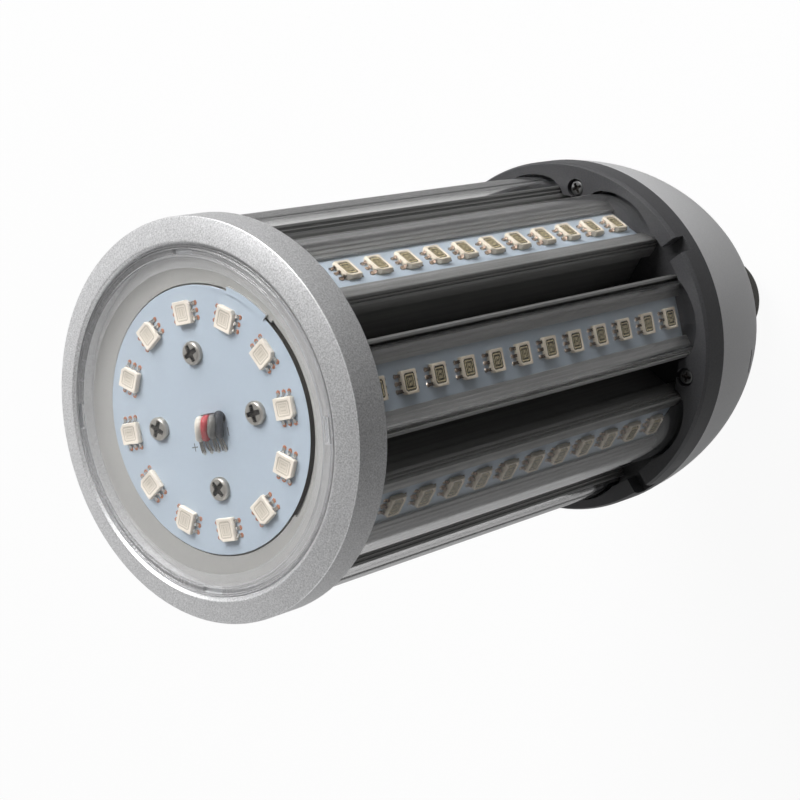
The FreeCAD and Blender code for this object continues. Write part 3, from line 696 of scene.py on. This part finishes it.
def led_surface(settings, depth, frame):
    """One LED package: levels of its outline from the board up to its rim and down into the window, then leads and
    solder at both ends. depth is how far the resin lies under the rim and frame how wide the rim is. Returns the
    surface, the material of each face and the UV of each vertex."""
    u, v, h = settings.led_short / 2, settings.led_long / 2, settings.led_h
    floor = frame + 0.12 + depth * 0.4
    # how far each level lies inside the outline along u and v, its three even corners, its cut one and its height
    levels = ((0.2, 0.12, 0.15, 0.8, 0.0), (0.15, 0.08, 0.15, 0.8, h * 0.3), (0.0, 0.0, 0.15, 0.95, h * 0.38),
              (0.04, 0.04, 0.15, 0.95, h - 0.1), (0.12, 0.12, 0.15, 0.95, h), (frame, frame, 0.5, 0.55, h),
              (floor, floor, 0.4, 0.45, h - depth))
    body = capped(np.stack([led_ring(u - in_u, v - in_v, *rest) for in_u, in_v, *rest in levels]))
    parts = [body]
    marks = [0] * (len(body[1]) - 1) + [1]
    # a lead's way from inside the body down to the board as (reach, height), its half width and thickness, its pitch,
    # how far out its pad is, and the pad's foot and top
    run = np.array([[0.0, 0.66], [0.42, 0.6], [0.62, 0.14], [1.35, 0.1]])[:, None]
    half, thick, pitch, pad_out = 0.4, 0.14, 1.7, 1.05
    section = np.array([[-half, 0.0], [half, 0.0], [half, thick], [-half, thick]])
    pad_r, pad_z = np.array([[0.62], [0.5]]), np.array([[0.0], [0.2]])
    turn = whole_turn(6)
    for side in (-1, 1):
        for row in (-pitch, 0.0, pitch):
            reach = side * (u - 0.3 + run[..., 0])
            leg = capped(xyz(reach, row + section[:, 0], run[..., 1] + section[:, 1]))
            pad = capped(xyz(side * (u + pad_out) + pad_r * np.cos(turn), row + pad_r * np.sin(turn), pad_z))
            parts += [leg, pad]
            marks += [2] * len(leg[1]) + [3] * len(pad[1])
    vertices, faces = joined(*parts)
    return vertices, faces, marks, vertices[:, :2] / np.array([u, v])


def strip_places(vertices, strip, first_z, pitch, seat_r):
    """LEDs of one strip: u runs down the strip, v across it and w outward at -Y, then all turn to their module."""
    base = xyz(vertices[:, 1], -(seat_r + vertices[:, 2]), -vertices[:, 0])
    rows = first_z - pitch * np.arange(LEDS)
    return turned(base + np.array([0.0, 0.0, 1.0]) * rows[:, None, None], strip * STEP)


def end_places(vertices, radius, seat_z):
    """LEDs of the end board: v points inward and u runs along the circle."""
    base = xyz(radius - vertices[:, 1], vertices[:, 0], seat_z + vertices[:, 2])
    return turned(np.repeat(base[None], LEDS, axis=0), whole_turn(LEDS))


def lay_leds(name, places, package, replaced, finishes):
    """One object from an array of placed LED packages, with the finishes of its body, window, leads and pads."""
    _, faces, marks, uv = package
    count = len(places)
    make_piece(name, copies(faces, places), finishes, [replaced],
               which=marks * count, uv=np.tile(uv, (count, 1)), sharp=38.0)


class OBJECT_OT_bulb_leds(bpy.types.Operator):
    """Makes the LED packages of the end board and of the eight strips"""
    bl_idname = "bulb.leds"
    bl_label = "LED packages"

    def execute(self, context):
        settings = context.scene.bulb_modules
        package = led_surface(settings, depth=0.06, frame=0.6)
        radius = box_mm("end_leds")[1][0] - settings.led_long / 2
        places = end_places(package[0], radius, box_mm("end_board")[1][2])
        lay_leds("end_led_packages", places, package, "end_leds",
                 ("LED body", "End LED window", "LED leads", "Lead pads"))
        package = led_surface(settings, depth=0.15, frame=0.5)
        low, high = box_mm("strip_leds_1")
        seat_r = -box_mm("strip_board_1")[0][1]
        first = high[2] - settings.led_short / 2
        last = low[2] + settings.led_short / 2
        for strip in range(MODULES):
            places = strip_places(package[0], strip, first, (first - last) / (LEDS - 1), seat_r)
            lay_leds("strip_led_packages_%d" % (strip + 1), places, package, "strip_leds_%d" % (strip + 1),
                     ("Strip LED body", "Strip LED window", "Strip LED leads with painted shade", "Strip solder"))
        return {"FINISHED"}


# ---------------- front

class OBJECT_OT_bulb_ring(bpy.types.Operator):
    """Makes the front ring with its eased edges"""
    bl_idname = "bulb.ring"
    bl_label = "Front ring"

    def execute(self, context):
        ease = context.scene.bulb_front.ring_round
        opening, seat, rim, wall, outside = 13.0, 38.4, 40.15, 45.3, 46.5
        skirt_z, back_z, plate_z, lens_z, edge_z, rim_z = 225.7, 226.7, 229.2, 234.1, 235.0, 236.55
        corners = [(opening, back_z), (wall, back_z), (wall, skirt_z), (outside, skirt_z), (outside, edge_z),
                   (rim + 0.8, rim_z), (rim, rim_z - 0.8), (rim, lens_z), (seat, lens_z), (seat, plate_z),
                   (opening, plate_z)]
        radii = [0.05, 0.05, 0.15, 0.2, ease * 0.8, ease * 0.7, ease * 0.6, 0.1, 0.15, 0.1, 0.05]
        ring = lathe(rounded(corners, radii, 6), 256)
        make_piece("front_ring_shell", ring, ["Ring paint"], ["front_ring"], sharp=50.0)
        return {"FINISHED"}


class OBJECT_OT_bulb_end(bpy.types.Operator):
    """Dresses the end plate, the end board and the lens"""
    bl_idname = "bulb.end_face"
    bl_label = "End plate, end board and lens"

    def execute(self, context):
        softened("end_plate", ["Plate metal", "Board mask"], 0.1,
                 second=lambda centres, normals: (centres[:, 2] > BOARD_TOP + 0.2) & (normals[:, 2] > 0.9))
        self.board()
        self.lens()
        self.marks()
        return {"FINISHED"}

    def board(self):
        """End board between an oblong hole for the wires and a circle: rings of points on the hole's outline and on
        the circle, at the board's two faces and at its eased edges, joined round a closed profile."""
        (_, _, bottom), (radius, _, top) = box_mm("end_board")
        turn = whole_turn(240)
        circle = on_circle(turn)
        hole_x, hole_y, hole_half, ease, wide, narrow = 0.2, -1.25, 3.05, 0.06, 1.42, 1.36
        hole = np.stack([hole_x + 0 * turn, hole_y + hole_half * np.tanh(4.0 * np.sin(turn))], axis=-1)
        rings = [(circle * radius, bottom), (circle * radius, top - ease), (circle * (radius - ease), top),
                 (hole + circle * wide, top), (hole + circle * narrow, top - ease), (hole + circle * narrow, bottom)]
        points = np.stack([xyz(outline[:, 0], outline[:, 1], z) for outline, z in rings])
        surface = grid(points, close_rows=True, close_columns=True)
        # Painted shade: over this sector the board's outer side is dark, its own dark edge together with the shade of
        # the gap beside the plate; elsewhere the side takes the plate's metal.
        dark_from, dark_to = -142, -50
        degrees = np.degrees(np.arctan2(np.sin(turn), np.cos(turn)))
        shadowed = (degrees > dark_from) & (degrees < dark_to)
        which = np.zeros((len(rings), len(turn)), dtype=int)
        which[0] = np.where(shadowed, 2, 1)
        make_piece("end_board_shell", surface, ["Board mask", "Plate metal", "Board edge painted shade"],
                   ["end_board"], which=which.ravel())

    def lens(self):
        """Lens as a lathe: the outer crown is a flat arch of height 2 over radius 37.4, then comes the rim's top
        with two raised lines and two grooves, its wall, its underside, and the inner crown back to the axis. The four
        bayonet recesses lower the rim's top where both the radius and the angle are inside them."""
        crown_r, top, bottom, sides = 37.4, 236.2, 234.1, 720
        recess_r, recess_at, half_long, half_wide, deep = 38.6, 99.0, 3.0, 0.65, 0.8
        arch = np.linspace(0, crown_r - 0.1, 16)
        rim = np.concatenate([np.linspace(crown_r, 39.8, 49), [39.93, 40.0, 40.03]])
        ridge = 0.0 * rim
        for at, tall in ((37.6, 0.2), (38.1, -0.14), (39.15, 0.16), (39.5, -0.2)):
            ridge += tall * np.exp(-((rim - at) / 0.08) ** 2)
        rim_z = top - np.clip(rim - 39.83, 0, 1) ** 2 * 4 + ridge
        under = [(40.03, bottom + 0.1), (39.95, bottom), (37.5, bottom)]
        fall = 1 - (arch / crown_r) ** 2
        outer = np.column_stack([arch, top + 2.0 * fall])
        inner = np.column_stack([arch, bottom + 2.3 * fall])[::-1]
        profile = np.vstack([outer, np.column_stack([rim, rim_z]), under, inner])
        vertices, faces = lathe(profile, sides, closed=False)
        radius = np.hypot(vertices[:, 0], vertices[:, 1])
        turn = np.degrees(np.arctan2(vertices[:, 1], vertices[:, 0]))
        off = np.abs((turn + recess_at + 45.0) % 90.0 - 45.0) * math.pi / 180 * recess_r
        inside = np.clip((half_long - off) / 0.25, 0, 1) * np.clip((half_wide - np.abs(radius - recess_r)) / 0.12, 0, 1)
        vertices[:, 2] -= np.where(vertices[:, 2] > top - 0.3, deep * inside, 0.0)
        on_rim = np.repeat(profile[:-1, 0] >= crown_r - 0.1, sides)
        sunk = ((inside > 0.3) & (vertices[:, 2] > top - 1.0))[:-sides]
        finishes = ["Lens plastic", "Lens rim", "Lens recess"]
        make_piece("lens_shell", (vertices, faces), finishes, ["front_lens"],
                   which=on_rim.astype(int) + sunk.astype(int), sharp=40.0)

    def marks(self):
        """The + and - marks by the solder pads: flat bars a fiftieth of a millimetre thick."""
        bars = []
        for x, y, half_x, half_y in ((-5.5, 5.7, 0.95, 0.13), (-5.5, 5.7, 0.13, 0.95), (-3.1, -5.7, 1.0, 0.13)):
            across = x + half_x * np.array([-1, 1, 1, -1])
            along = y + half_y * np.array([-1, -1, 1, 1])
            box = capped(xyz(across, along, BOARD_TOP + np.array([[0.0], [0.02]])))
            box[1].append([3, 2, 1, 0])
            bars.append(box)
        vertices, faces = joined(*bars)
        make_piece("pad_marks", (vertices, faces), ["Mark print"], [])


def screw_head(radius, height, arm, arm_w, depth):
    """Pan head with a cross recess, on a polar grid: its height is a flat-topped dome, less the recess, whose two
    arms have steep sides and a floor that rises towards their ends. Also tells which faces lie in the recess, which
    take a darker finish as painted shade."""
    ring = np.linspace(0, 1, 34)[:, None] * radius
    turn = whole_turn(80)
    x, y = ring * np.cos(turn), ring * np.sin(turn)
    dome = height * (1 - (ring / radius) ** 2 * 0.06 - (ring / radius) ** 14 * 0.4) + 0 * turn
    inside = np.zeros_like(x)
    for along, across in ((np.abs(x), np.abs(y)), (np.abs(y), np.abs(x))):
        end = np.clip((arm - along) / 0.2, 0, 1)
        wall = np.clip((arm_w * (1 - 0.3 * along / arm) - across) / 0.1, 0, 1)
        inside = np.maximum(inside, np.minimum(end, wall) * (1 - 0.3 * along / arm))
    top = xyz(x, y, dome - depth * inside)
    skirt = top[-1:] * np.array([1.0, 1.0, 0.0])
    surface = grid(np.concatenate([top, skirt]), close_columns=True)
    deep = (inside + np.roll(inside, -1, axis=1)) / 2
    deep = np.vstack([(deep[:-1] + deep[1:]) / 2, deep[:1] * 0]) > 0.3
    return surface, deep.ravel().astype(int).tolist()


def shank(radius, length):
    """Plain shank under a screw head, closed at its end."""
    return lathe([(radius, 0.0), (radius, -length), (0.0, -length)], 24, closed=False)


def lay_screws(name, node, places, spins, head, body, seat_z, metal):
    """Screws of one node at their places, each with its own turn of the cross recess."""
    head, marks = head
    vertices, faces = joined(head, body)
    spun = turned(np.repeat(vertices[None], len(places), axis=0), spins)
    spun[..., 2] += seat_z
    spun[..., :2] += places[:, None]
    marks = marks + [0] * len(body[1])
    # faces in the cross recess take the darker finish: painted shade
    make_piece(name, copies(faces, spun), [metal, "Screw recess painted shade"], [node],
               which=marks * len(places), sharp=42.0)


class OBJECT_OT_bulb_screws(bpy.types.Operator):
    """Makes the pan-head screws of the end board and of the rear collar"""
    bl_idname = "bulb.screws"
    bl_label = "Screws"

    def execute(self, context):
        turn = np.arange(4) * math.pi / 2
        end_r, collar_r = 15.6, 42.0
        lay_screws("end_screw_heads", "end_board_screws", on_circle(turn) * end_r, [0.35, 1.0, 0.62, 0.1],
                   screw_head(radius=2.75, height=1.35, arm=2.05, arm_w=0.7, depth=0.95), shank(1.5, 12.0),
                   BOARD_TOP, "Screw metal")
        lay_screws("collar_screw_heads", "collar_screws", on_circle(turn + FIRST_GAP) * collar_r, [0.2, 0.9, 0.4, 1.2],
                   screw_head(radius=2.1, height=1.3, arm=1.45, arm_w=0.46, depth=0.9), shank(1.25, 15.0),
                   COLLAR_SEAT, "Dark screw")
        return {"FINISHED"}


class OBJECT_OT_bulb_wires(bpy.types.Operator):
    """Makes the four wires, their bare strands and the solder on their pads"""
    bl_idname = "bulb.wires"
    bl_label = "Wires"

    def execute(self, context):
        settings = context.scene.bulb_front
        foot = box_mm("wire_white")[0][2]
        hole_x, pad_x, pad_y, pad_pitch = 0.2, -6.8, 2.93, 2.25
        # how far each wire's bend lifts to +X, its end reaches to -X, its bend leans to -Y, its top rises, and its
        # end comes back to +Y, in mm
        shapes = {"white": (0.0, 0.0, 0.3, 0.0, 2.2), "red": (0.1, 0.1, 0.3, 0.1, 2.2),
                  "grey": (0.0, -0.35, 0.9, 0.5, 2.7), "black": (0.6, -0.1, -0.2, -0.8, 1.4)}
        strands = []
        mounds = []
        for index, (name, (lift, reach, lean, rise, back)) in enumerate(shapes.items()):
            low = 1.8 - index * settings.wire_pitch
            y = low - 1.1 - lean
            route = [(hole_x, low, z) for z in (foot, 150.0, 222.0, 230.0, 231.8)]
            route += [(0.5 + lift, low - 0.4, 233.3), (0.3 + lift, y, 234.6 + rise), (-1.3, y + 0.4, 234.8 + rise),
                      (-2.8, y + back - 0.9, 234.0 + max(rise, 0.0) * 0.7), (-3.6 - reach, y + back, 233.3)]
            make_piece("wire_lead_" + name, tube(path(route, 10), settings.wire_d / 2), ["Wire " + name],
                       ["wire_" + name], sharp=60.0)
            on_pad = pad_y - pad_pitch * index
            for n in range(3):
                spread = (n - 1.0) * 0.45
                end_y = on_pad + spread * (1.0 + 0.2 * index)
                bend = 0.2 * math.sin(3.0 * n + 2.0 * index)
                route = [(-3.3 - reach, y + back - 0.1 + spread, 233.35),
                         (-4.6, y + back + 0.1 + spread * 1.2 + bend, 233.25 - 0.15 * n),
                         (-5.8, end_y + bend, 232.85), (pad_x - 0.2 + 0.9 * bend, end_y - bend, 232.46)]
                strands.append(tube(path(route, 5), 0.16, 8))
            mound = lathe([(0.8, 0.0), (0.75, 0.08), (0.55, 0.22), (0.3, 0.28), (0.0, 0.3)], 20, closed=False)
            place = np.array([pad_x, on_pad, BOARD_TOP])
            mounds.append((mound[0] * np.array([1.0, 0.7, 1.0]) + place, mound[1]))
        strand_count = sum(len(s[1]) for s in strands)
        vertices, faces = joined(*strands, *mounds)
        which = [0] * strand_count + [1] * (len(faces) - strand_count)
        make_piece("strands_and_solder", (vertices, faces), ["Strand", "Solder"],
                   ["solder_joints"], which=which, sharp=60.0)
        return {"FINISHED"}


# ---------------- modules

def cover_section(wall):
    """Closed section of the clear cover: the outer skin by the angle of its normal, first the side's arc, then the
    crown's, then the toes, and back along the inner skin, which is the outer one moved in by the wall."""
    half, top, crown, shoulder, foot = 9.9, 45.0, 16.0, 5.0, 37.6
    reach = half - shoulder
    lift = top - crown + math.sqrt((crown - shoulder) ** 2 - reach ** 2)
    turn_at = math.asin(reach / (crown - shoulder))
    angle = np.linspace(-math.pi / 2, math.pi / 2, 41)
    on_crown = np.abs(angle) <= turn_at
    x = np.where(on_crown, crown * np.sin(angle), np.sign(angle) * reach + shoulder * np.sin(angle))
    y = np.where(on_crown, top - crown + crown * np.cos(angle), lift + shoulder * np.cos(angle))
    outer = np.stack([x, y], axis=-1)
    inner = outer - wall * np.stack([np.sin(angle), np.cos(angle)], axis=-1)
    right = [(half, foot), (half - wall - 0.55, foot), (half - wall - 0.55, foot + 0.7), (half - wall, foot + 0.7)]
    left = [(-x, y) for x, y in right[::-1]]
    return np.vstack([outer, right, inner[::-1], left])


class OBJECT_OT_bulb_covers(bpy.types.Operator):
    """Makes the clear arched covers of the eight modules"""
    bl_idname = "bulb.covers"
    bl_label = "Clear covers"

    def execute(self, context):
        low, high = box_mm("strip_cover_1")
        section = cover_section(context.scene.bulb_modules.cover_wall)
        ends = np.array([[low[2]], [high[2]]])
        vertices, faces = grid(xyz(section[:, 0], -section[:, 1], ends), close_columns=True)
        count = len(section)
        faces = faces + [list(range(count)), list(range(count, 2 * count))[::-1]]
        for module in range(MODULES):
            placed = turned(vertices, module * STEP)
            make_piece("clear_cover_%d" % (module + 1), (placed, faces), ["Cover plastic"],
                       ["strip_cover_%d" % (module + 1)], sharp=40.0)
        return {"FINISHED"}


class OBJECT_OT_bulb_sinks(bpy.types.Operator):
    """Dresses the extruded heat sinks, the strip boards and the core"""
    bl_idname = "bulb.sinks"
    bl_label = "Heat sinks and strip boards"

    def execute(self, context):
        for module in range(MODULES):
            softened("heat_sink_%d" % (module + 1), ["Module metal"], 0.1)
            dress("strip_board_%d" % (module + 1), "Board mask")
        dress("core_tube", "Core metal")
        return {"FINISHED"}


# ---------------- rear

class OBJECT_OT_bulb_rear(bpy.types.Operator):
    """Dresses the rear collar, the rear housing and the driver inside it"""
    bl_idname = "bulb.rear"
    bl_label = "Collar, housing and driver"

    def execute(self, context):
        softened("rear_collar", ["Collar paint"], 0.2)
        for node, name in (("rear_housing", "Housing plastic"), ("driver_board", "Driver board"),
                           ("driver_transformer", "Ferrite"), ("driver_choke", "Ferrite"),
                           ("driver_capacitor", "Capacitor sleeve"), ("input_leads", "Lead wire")):
            dress(node, name)
        return {"FINISHED"}


class OBJECT_OT_bulb_cap(bpy.types.Operator):
    """Makes the screw cap, whose rolled thread is a cosine wave along a helix that fades out at both ends"""
    bl_idname = "bulb.cap"
    bl_label = "Screw cap"

    def execute(self, context):
        settings = context.scene.bulb_rear
        low_z, high_z, outer_r, wall = 7.6, 27.0, 13.18, 0.4
        turn = whole_turn(96)
        height = np.linspace(low_z, high_z, 140)[:, None]
        wave = 0.5 - 0.5 * np.cos(2 * math.pi * height / settings.thread_pitch - turn)
        fade = np.clip((height - low_z - 0.6) / 2.0, 0, 1) * np.clip((high_z - 1.4 - height) / 2.0, 0, 1)
        mouth = np.array([[10.75, 5.0], [11.6, 5.25], [12.35, 5.9], [12.95, 6.9]])
        radius = np.vstack([mouth[:, :1] + 0 * turn, outer_r - settings.thread_depth * wave * fade])
        height = np.vstack([mouth[:, 1:], height])
        outer, inner = polar(radius, turn, height), polar(radius - wall, turn, height)[::-1]
        shell = grid(np.concatenate([outer, inner]), close_rows=True, close_columns=True)
        make_piece("cap_shell", shell, ["Cap metal with painted shade"], ["base_shell"], sharp=50.0)
        softened("base_insulator", ["Cap insulator"], 0.2)
        softened("base_contact", ["Contact metal"], 0.15)
        return {"FINISHED"}


# ---------------- stage

def facing(right, up, place):
    """Matrix of an object at a place, whose X and Y axes point right and up."""
    turn = np.stack([right, up, np.cross(right, up)], axis=-1)
    return Matrix.Translation(place) @ Matrix(turn.tolist()).to_4x4()


def area_light(name, place, aim, width, level):
    """Soft square light whose power gives its level on a surface that faces it from the lamp's place."""
    data = bpy.data.lights.new(name, "AREA")
    data.size = width
    away = np.array(place) - np.array(aim)
    distance = float(np.linalg.norm(away))
    data.energy = math.pi ** 2 * distance ** 2 * level
    side = np.cross((0.0, 0.0, 1.0), away)
    side /= np.linalg.norm(side)
    linked(name, data).matrix_world = facing(side, np.cross(away / distance, side), place)


def mixed(tree, part, first, second):
    """Mix of two shader nodes, by the second one's part."""
    mix = tree.nodes.new("ShaderNodeMixShader")
    for source, socket in zip((part, first.outputs[0], second.outputs[0]), mix.inputs):
        tree.links.new(source, socket)
    return mix


def seen_white(tree, in_mirrors):
    """1 for what the camera sees, also through clear plastic, a set part of it for what is seen in a mirror, and 0 for
    light that a surface gives to others, so that the white background lights nothing. in_mirrors is a number or a
    socket."""
    rays = tree.nodes.new("ShaderNodeLightPath")
    seen = largest(tree, *(rays.outputs[kind] for kind in ("Is Camera Ray", "Is Glossy Ray", "Is Transmission Ray")))
    seen = minus(tree, seen, rays.outputs["Diffuse Depth"], clamp=True)
    mirrored = arithmetic(tree, "MINIMUM", rays.outputs["Glossy Depth"], 1.0)
    loss = times(tree, mirrored, minus(tree, 1.0, in_mirrors))
    return times(tree, seen, minus(tree, 1.0, loss))


class OBJECT_OT_bulb_stage(bpy.types.Operator):
    """Sets up the floor, the room, the lights and the camera"""
    bl_idname = "bulb.stage"
    bl_label = "Stage"

    def execute(self, context):
        settings = context.scene.bulb_stage
        self.floor(settings)
        self.room(settings)
        aim = (0.0, 0.0, 0.16)
        area_light("key_light", (1.13, 0.05, 1.15), aim, 0.9, settings.key_level)
        area_light("fill_light", (-1.3, 0.0, 0.45), aim, 1.2, settings.fill_level)
        area_light("side_light", (1.45, -0.35, 0.15), (0.0, 0.0, 0.08), 0.8, settings.side_level)
        self.camera(settings)
        context.scene.view_settings.view_transform = "Standard"
        return {"FINISHED"}

    def floor(self, settings):
        """Pale floor: white to the camera, brighter in mirrors towards -X and +Y, and see-through from below."""
        half = settings.floor_size / 2
        mesh = bpy.data.meshes.new("floor")
        corners = [(-half, -half, 0.0), (half, -half, 0.0), (half, half, 0.0), (-half, half, 0.0)]
        mesh.from_pydata(corners, [], [(0, 1, 2, 3)])
        material, tree, shader = base_material("Floor", 0.0, 0.9)
        use_group(tree, shader, GROUPS["speckle"], Colour=(0.22, 0.22, 0.22, 1.0), Grain=0.02, Blotch=0.01,
                  Grains_per_metre=300.0, Roughness=0.9)
        glow = add(tree, "ShaderNodeEmission", Color=(1.0, 1.0, 1.0, 1.0), Strength=1.3)
        place = split_place(tree, tree.nodes.new("ShaderNodeTexCoord").outputs["Object"])
        brighter = minus(tree, place["Y"], times(tree, place["X"], 0.8))
        mirrored = plus(tree, brighter, 0.18, clamp=True)
        lit = mixed(tree, times(tree, seen_white(tree, mirrored), 0.72), shader, glow)
        below_it = tree.nodes.new("ShaderNodeNewGeometry").outputs["Backfacing"]
        one_sided = mixed(tree, below_it, lit, tree.nodes.new("ShaderNodeBsdfTransparent"))
        tree.links.new(one_sided.outputs[0], tree.nodes["Material Output"].inputs["Surface"])
        mesh.materials.append(material)
        linked("floor", mesh)

    def room(self, settings):
        """Room light from all round, white to the camera and darker in mirrors towards the ceiling."""
        world = bpy.data.worlds.new("Room")
        world.use_nodes = True
        tree = world.node_tree
        shader = tree.nodes["Background"]
        place = split_place(tree, tree.nodes.new("ShaderNodeTexCoord").outputs["Generated"])
        ceiling = times(tree, minus(tree, place["Z"], 0.45), 1.9, clamp=True)
        walls = times(tree, minus(tree, 1.0, ceiling), 0.75)
        seen = seen_white(tree, plus(tree, walls, 0.15))
        extra = times(tree, seen, 1.0 - settings.sky_level)
        tree.links.new(plus(tree, extra, settings.sky_level), shader.inputs["Strength"])
        shader.inputs["Color"].default_value = (1.0, 1.0, 1.0, 1.0)
        bpy.context.scene.world = world

    def camera(self, settings):
        """Camera fitted to the photograph."""
        data = bpy.data.cameras.new("camera")
        data.lens = settings.lens_mm
        data.sensor_width = 36.0  # the width that the focal length was fitted for
        data.clip_start = 0.01
        data.clip_end = 20.0
        camera = linked("camera", data)
        right = np.array([-0.19450, -0.75169, -0.63018])
        up = np.array([0.97990, -0.11990, -0.15942])
        camera.matrix_world = facing(right, up, (0.01704, -0.3389, 0.56317))
        bpy.context.scene.camera = camera


# ---------------- sidebar

OPERATORS = (OBJECT_OT_bulb_leds, OBJECT_OT_bulb_ring, OBJECT_OT_bulb_end, OBJECT_OT_bulb_screws,
             OBJECT_OT_bulb_wires, OBJECT_OT_bulb_covers, OBJECT_OT_bulb_sinks, OBJECT_OT_bulb_rear,
             OBJECT_OT_bulb_cap, OBJECT_OT_bulb_stage)


class VIEW3D_PT_bulb(bpy.types.Panel):
    """Lists the pieces of the lamp"""
    bl_label = "Corn LED bulb"
    bl_idname = "VIEW3D_PT_bulb"
    bl_space_type = "VIEW_3D"
    bl_region_type = "UI"
    bl_category = "Corn bulb"

    def draw(self, context):
        for operator in OPERATORS:
            self.layout.operator(operator.bl_idname)
        for settings in (context.scene.bulb_front, context.scene.bulb_modules,
                         context.scene.bulb_rear, context.scene.bulb_stage):
            box = self.layout.box()
            for key in settings.bl_rna.properties.keys():
                if key not in ("rna_type", "name"):
                    box.prop(settings, key)


SETTINGS = (("bulb_front", BulbFrontSettings), ("bulb_modules", BulbModuleSettings),
            ("bulb_rear", BulbRearSettings), ("bulb_stage", BulbStageSettings))


def register():
    for key, group in SETTINGS:
        bpy.utils.register_class(group)
        setattr(bpy.types.Scene, key, PointerProperty(type=group))
    for operator in OPERATORS:
        bpy.utils.register_class(operator)
    bpy.utils.register_class(VIEW3D_PT_bulb)


def unregister():
    bpy.utils.unregister_class(VIEW3D_PT_bulb)
    for operator in reversed(OPERATORS):
        bpy.utils.unregister_class(operator)
    for key, group in reversed(SETTINGS):
        delattr(bpy.types.Scene, key)
        bpy.utils.unregister_class(group)


def main():
    register()
    bpy.ops.bulb.ring()
    bpy.ops.bulb.end_face()
    bpy.ops.bulb.leds()
    bpy.ops.bulb.screws()
    bpy.ops.bulb.wires()
    bpy.ops.bulb.covers()
    bpy.ops.bulb.sinks()
    bpy.ops.bulb.rear()
    bpy.ops.bulb.cap()
    bpy.ops.bulb.stage()


if __name__ == "__main__":
    main()
